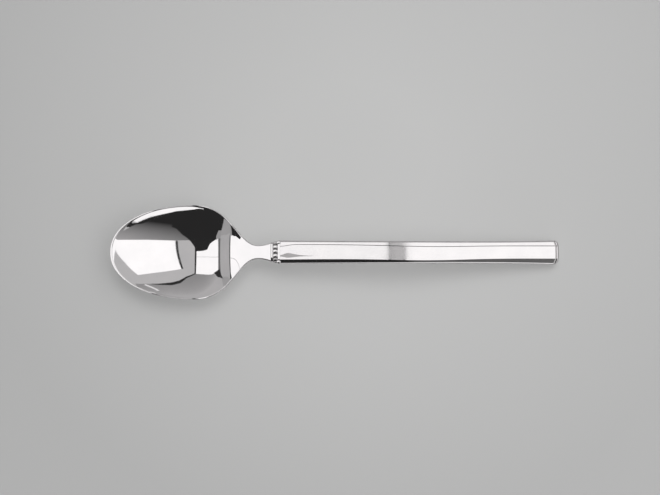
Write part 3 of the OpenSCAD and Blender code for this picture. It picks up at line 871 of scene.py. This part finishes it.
def cement():
    """The cast filler inside the handle: pale grey with dark specks."""
    m = new_material("cement_fill")
    g = Graph(m.node_tree)
    speck = g.noise(scale=1500, detail=6, rough=0.65)
    cloud = g.noise(scale=220, detail=3)
    tone = g.mix(g.ramp(cloud, 0.3, 0.7, 0, 1), *CEMENT_TONES)
    tone = g.mix(g.ramp(speck, 0.58, 0.72, 0, 0.6), tone, CEMENT_SPECK_TONE)
    rough = g.ramp(speck, 0.3, 0.7, 0.8, 0.95)
    normal = g.bump(speck, strength=0.7, distance=0.0002)
    g.finish(g.node("ShaderNodeBsdfPrincipled", {"Base Color": tone, "Roughness": rough, "Normal": normal}))
    return m


# The table's greys, and a painted shade that darkens them away from a middle, in millimetres
TABLE_TONES = ((0.455, 0.455, 0.453, 1), (0.47, 0.47, 0.468, 1))
TABLE_FALLOFF_SHADE = (0.393, 0.393, 0.392, 1)
TABLE_MIDDLE = (5.0, 28.0)
TABLE_FADE = (25, 115)


def table_top():
    m = new_material("table_grey")
    g = Graph(m.node_tree)
    fine = g.noise(scale=900, detail=4)
    broad = g.noise(scale=6, detail=2)
    tone = g.mix(g.ramp(broad, 0.3, 0.7, 0, 1), *TABLE_TONES)
    x, y, _ = g.place()
    across = g.math("POWER", g.math("SUBTRACT", x, TABLE_MIDDLE[0]), 2.0)
    along = g.math("POWER", g.math("SUBTRACT", y, TABLE_MIDDLE[1]), 2.0)
    far = g.math("SQRT", g.math("ADD", across, along))
    # Painted shade: the table darkens away from the middle, where less light falls
    tone = g.mix(g.ramp(far, *TABLE_FADE, 0, 1), tone, TABLE_FALLOFF_SHADE)
    normal = g.bump(fine, strength=0.15, distance=0.00005)
    g.finish(g.node("ShaderNodeBsdfPrincipled", {"Base Color": tone, "Roughness": 0.75,
                                                 "Specular IOR Level": 0.15, "Normal": normal}))
    return m


# The least and the most that a fading card gives
FADE_LEAST = 0.03
FADE_MOST = 0.62


def glow(name, strength, fade=None):
    """Plain light; with a fade (per metre along X, per metre along Y) its strength changes over the card."""
    m = new_material(name)
    g = Graph(m.node_tree)
    if fade:
        co = g.node("ShaderNodeTexCoord").outputs["Object"]
        change = g.node("ShaderNodeVectorMath", {0: co, 1: (*fade, 0)}, operation="DOT_PRODUCT")
        strength = g.math("ADD", change.outputs["Value"], strength)
        strength = g.math("MINIMUM", g.math("MAXIMUM", strength, FADE_LEAST), FADE_MOST)
    g.finish(g.node("ShaderNodeEmission", {"Color": (1, 1, 1, 1), "Strength": strength}))
    return m


def card(name, corners, strength, fade=None, lights=True):
    """A studio panel, reflector or flag with its corners in millimetres.

    The metal reflects it. The camera doesn't see it, it casts no shadow, and it lights the table only if
    lights is set.
    """
    me = bpy.data.meshes.new(name)
    me.from_pydata([tuple(c * MM for c in p) for p in corners], [], [tuple(range(len(corners)))])
    ob = bpy.data.objects.new(name, me)
    bpy.context.scene.collection.objects.link(ob)
    me.materials.append(glow(name + "_light", strength, fade))
    ob.visible_camera = False
    ob.visible_shadow = False
    ob.visible_diffuse = lights
    return ob


def level(points, z):
    return [(x, y, z) for x, y in points]


def upright(points, y):
    return [(x, y, z) for x, z in points]


# The spoon: two pairs of steel tones, and the grain along each piece
BRIGHT = ((0.622, 0.607, 0.612, 1), (0.65, 0.631, 0.635, 1))
SOFT = ((0.608, 0.591, 0.595, 1), (0.633, 0.614, 0.616, 1))
BOWL_GRAIN = (900, 6500, 6500)
BAR_GRAIN = (260, 9000, 9000)
COLLAR_GRAIN = (3000, 6000, 6000)
mirror_bowl = steel("polished_bowl", BRIGHT, low=0.02, high=0.05, wave=5e-6, wave_size=0.009,
                    grain_along=BOWL_GRAIN)
mirror_bar = steel("polished_bar", SOFT, low=0.09, high=0.14, wave=4e-6, wave_size=0.007,
                   grain_along=BAR_GRAIN)
mirror_top = steel("polished_bar_top", SOFT, low=0.12, high=0.165, wave=4e-6, wave_size=0.007,
                   grain_along=BAR_GRAIN, painted_reflection=True)
mirror_collar = steel("polished_collar", BRIGHT, low=0.06, high=0.13, wave=2e-6, wave_size=0.004,
                      grain_along=COLLAR_GRAIN, recess_shade=True)

for piece, node, look in (
        (build_bowl(), "bowl_with_tang", mirror_bowl),
        (build_collar(), "collar", mirror_collar),
        (build_shell("handle_upper", 1), "handle_top_shell", mirror_top),
        (build_shell("handle_lower", -1), "handle_bottom_shell", mirror_bar),
        (build_cap(), "end_cap", mirror_bar)):
    piece.data.materials.append(look)
    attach(piece, "root")
    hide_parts(node)

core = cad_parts["handle_core"]
core.data.materials.clear()
core.data.materials.append(cement())

# Table
TABLE_HALF = 3
floor_mesh = bpy.data.meshes.new("table")
floor_mesh.from_pydata([(-TABLE_HALF, -TABLE_HALF, 0), (TABLE_HALF, -TABLE_HALF, 0),
                        (TABLE_HALF, TABLE_HALF, 0), (-TABLE_HALF, TABLE_HALF, 0)], [], [(0, 1, 2, 3)])
floor = bpy.data.objects.new("table", floor_mesh)
bpy.context.scene.collection.objects.link(floor)
floor_mesh.materials.append(table_top())

# Studio panels and flags overhead; where two overlap, the lower one shows in the metal
UP = 600
CEILING_EDGE = [(-11, 530), (108, 690), (188, 890), (272, 1030), (396, 1150)]
card("panel_right", level([(171, -270), (349, -305), (600, -330), (575, -128), (508, 296), (478, 701),
                           (279, 537), (137, 418)], UP), strength=1.55)
card("panel_left", level([(-1880, -640), (-8, -300), (-8, 570), (-900, 800), (-1400, 840), (-1960, 950)],
                         UP), strength=1.5, lights=False)
card("ceiling", level([(-60, -340), (1000, -340), (1000, 1330), (600, 1250)] + CEILING_EDGE[::-1], UP + 5),
     strength=0.7)
card("ceiling_edge", level(CEILING_EDGE + [(470, 1190), (470, 1215), (396, 1240), (290, 1230), (190, 1050),
                                           (108, 760), (-11, 560)], UP + 4), strength=0.04, lights=False)
card("strip_far", level([(530, 1230), (515, 1334), (505, 1462), (503, 1673), (515, 1900), (548, 1915),
                         (536, 1690), (541, 1500), (558, 1320)], UP - 1), strength=1.2, lights=False)
card("frame_right", level([(156, -270), (171, -270), (137, 418), (122, 415)], UP), strength=0.05,
     lights=False)
card("frame_left", level([(-8, -300), (12, -300), (12, 570), (-8, 570)], UP), strength=0.05, lights=False)
card("frame_far_left", level([(-2500, -700), (-1880, -640), (-1960, 1110), (-2600, 1400)], UP),
     strength=0.2, lights=False)
card("wall_left", level([(-6000, -1500), (-2600, -900), (-2600, 1400), (-6000, 2500)], UP + 8),
     strength=0.6, lights=False)
card("frame_corner", level([(-1100, 780), (-1400, 820), (-2300, 900), (-2800, 1600), (-1900, 1300)], UP - 2),
     strength=0.04, lights=False)
card("panel_seam", level([(-1900, 222), (-336, 110), (-8, 101), (-8, 107), (-336, 117), (-1900, 236)],
                         UP - 1), strength=0.4, lights=False)
card("flag_near", level([(-10, -20), (8, -97), (50, -238), (130, -431), (190, -642), (230, -720),
                         (340, -760), (640, -790), (700, -2600), (-2600, -2600), (-2500, -1150),
                         (-1950, -1050), (-1873, -637), (-504, -225), (-413, -170), (-268, -60),
                         (-81, -30)], UP - 6), strength=0.03, lights=False)
card("flag_left", level([(-1330, -440), (-1873, -600), (-2400, -760), (-2500, -1150), (-1950, -1050),
                         (-1650, -800), (-1400, -620)], UP - 8), strength=0.45, lights=False)
card("flag_right", level([(62, -275), (171, -275), (349, -310), (630, -335), (690, -420), (600, -560),
                          (545, -900), (488, -935), (401, -1300), (300, -1500), (250, -1000), (230, -720),
                          (190, -642), (130, -431)], UP - 7), strength=0.4, fade=(0.6, 0.6), lights=False)
card("back_field", level([(-2600, 560), (3000, 560), (3000, 9000), (-2600, 9000)], UP + 9), strength=0.31,
     fade=(-0.087, 0.116), lights=False)

# Upright cards on the near side
NEAR_Y = -1000
card("flag_low", upright([(-1000, 0), (-268, 0), (-268, 400), (-1000, 400)], NEAR_Y), strength=0.03,
     lights=False)
card("reflector_low", upright([(-268, 0), (540, 0), (540, 580), (344, 425), (140, 298), (-268, 212)],
                              NEAR_Y), strength=1.5)
card("reflector_end", upright([(540, 0), (1500, 0), (1500, 1500), (540, 1500)], NEAR_Y), strength=0.75)

# World: a weak light from all round, which the metal and the camera see as a plain grey
WORLD_LIGHT = 0.18
WORLD_SEEN = 0.5
world = bpy.data.worlds.new("studio")
bpy.context.scene.world = world
world.use_nodes = True
world.node_tree.nodes.clear()
wg = Graph(world.node_tree)
ray = wg.node("ShaderNodeLightPath").outputs
through = wg.math("MAXIMUM", ray["Is Glossy Ray"], ray["Is Transmission Ray"])
seen = wg.math("MAXIMUM", ray["Is Camera Ray"], through)
back = wg.node("ShaderNodeBackground", {"Color": (1, 1, 1, 1),
                                        "Strength": wg.ramp(seen, 0, 1, WORLD_LIGHT, WORLD_SEEN)})
wg.node("ShaderNodeOutputWorld", {"Surface": back.outputs[0]})

# A broad soft light from above and behind, for the table and its shadow
KEY_ENERGY = 0.75
KEY_ANGLE = 28
KEY_TILT = -26
sun_data = bpy.data.lights.new("soft_key", "SUN")
sun_data.energy = KEY_ENERGY
sun_data.angle = math.radians(KEY_ANGLE)
sun = bpy.data.objects.new("soft_key", sun_data)
bpy.context.scene.collection.objects.link(sun)
sun.rotation_euler = (math.radians(KEY_TILT), 0, 0)
sun.visible_glossy = False

# A fill from above without a shadow, which stands for the light that comes back from all round
FILL_ENERGY = 1.4
fill_data = bpy.data.lights.new("soft_fill", "SUN")
fill_data.energy = FILL_ENERGY
fill_data.use_shadow = False
fill = bpy.data.objects.new("soft_fill", fill_data)
bpy.context.scene.collection.objects.link(fill)
fill.visible_glossy = False

# Camera at the photograph's viewing angle
ELEVATION = math.radians(89)
DISTANCE = 0.56
AIM = Vector((-0.00175, 0.00145, 0.007))
SENSOR = 36
LENS = 101.7
CLIP_START = 0.01
ahead = Vector((0, math.cos(ELEVATION), -math.sin(ELEVATION)))
cam_data = bpy.data.cameras.new("camera")
cam = bpy.data.objects.new("camera", cam_data)
bpy.context.scene.collection.objects.link(cam)
cam_data.sensor_width = SENSOR
cam_data.lens = LENS
cam_data.clip_start = CLIP_START
cam.location = AIM - ahead * DISTANCE
cam.rotation_mode = "QUATERNION"
cam.rotation_quaternion = ahead.to_track_quat("-Z", "Y")
bpy.context.scene.camera = cam

bpy.context.scene.view_settings.view_transform = "Standard"
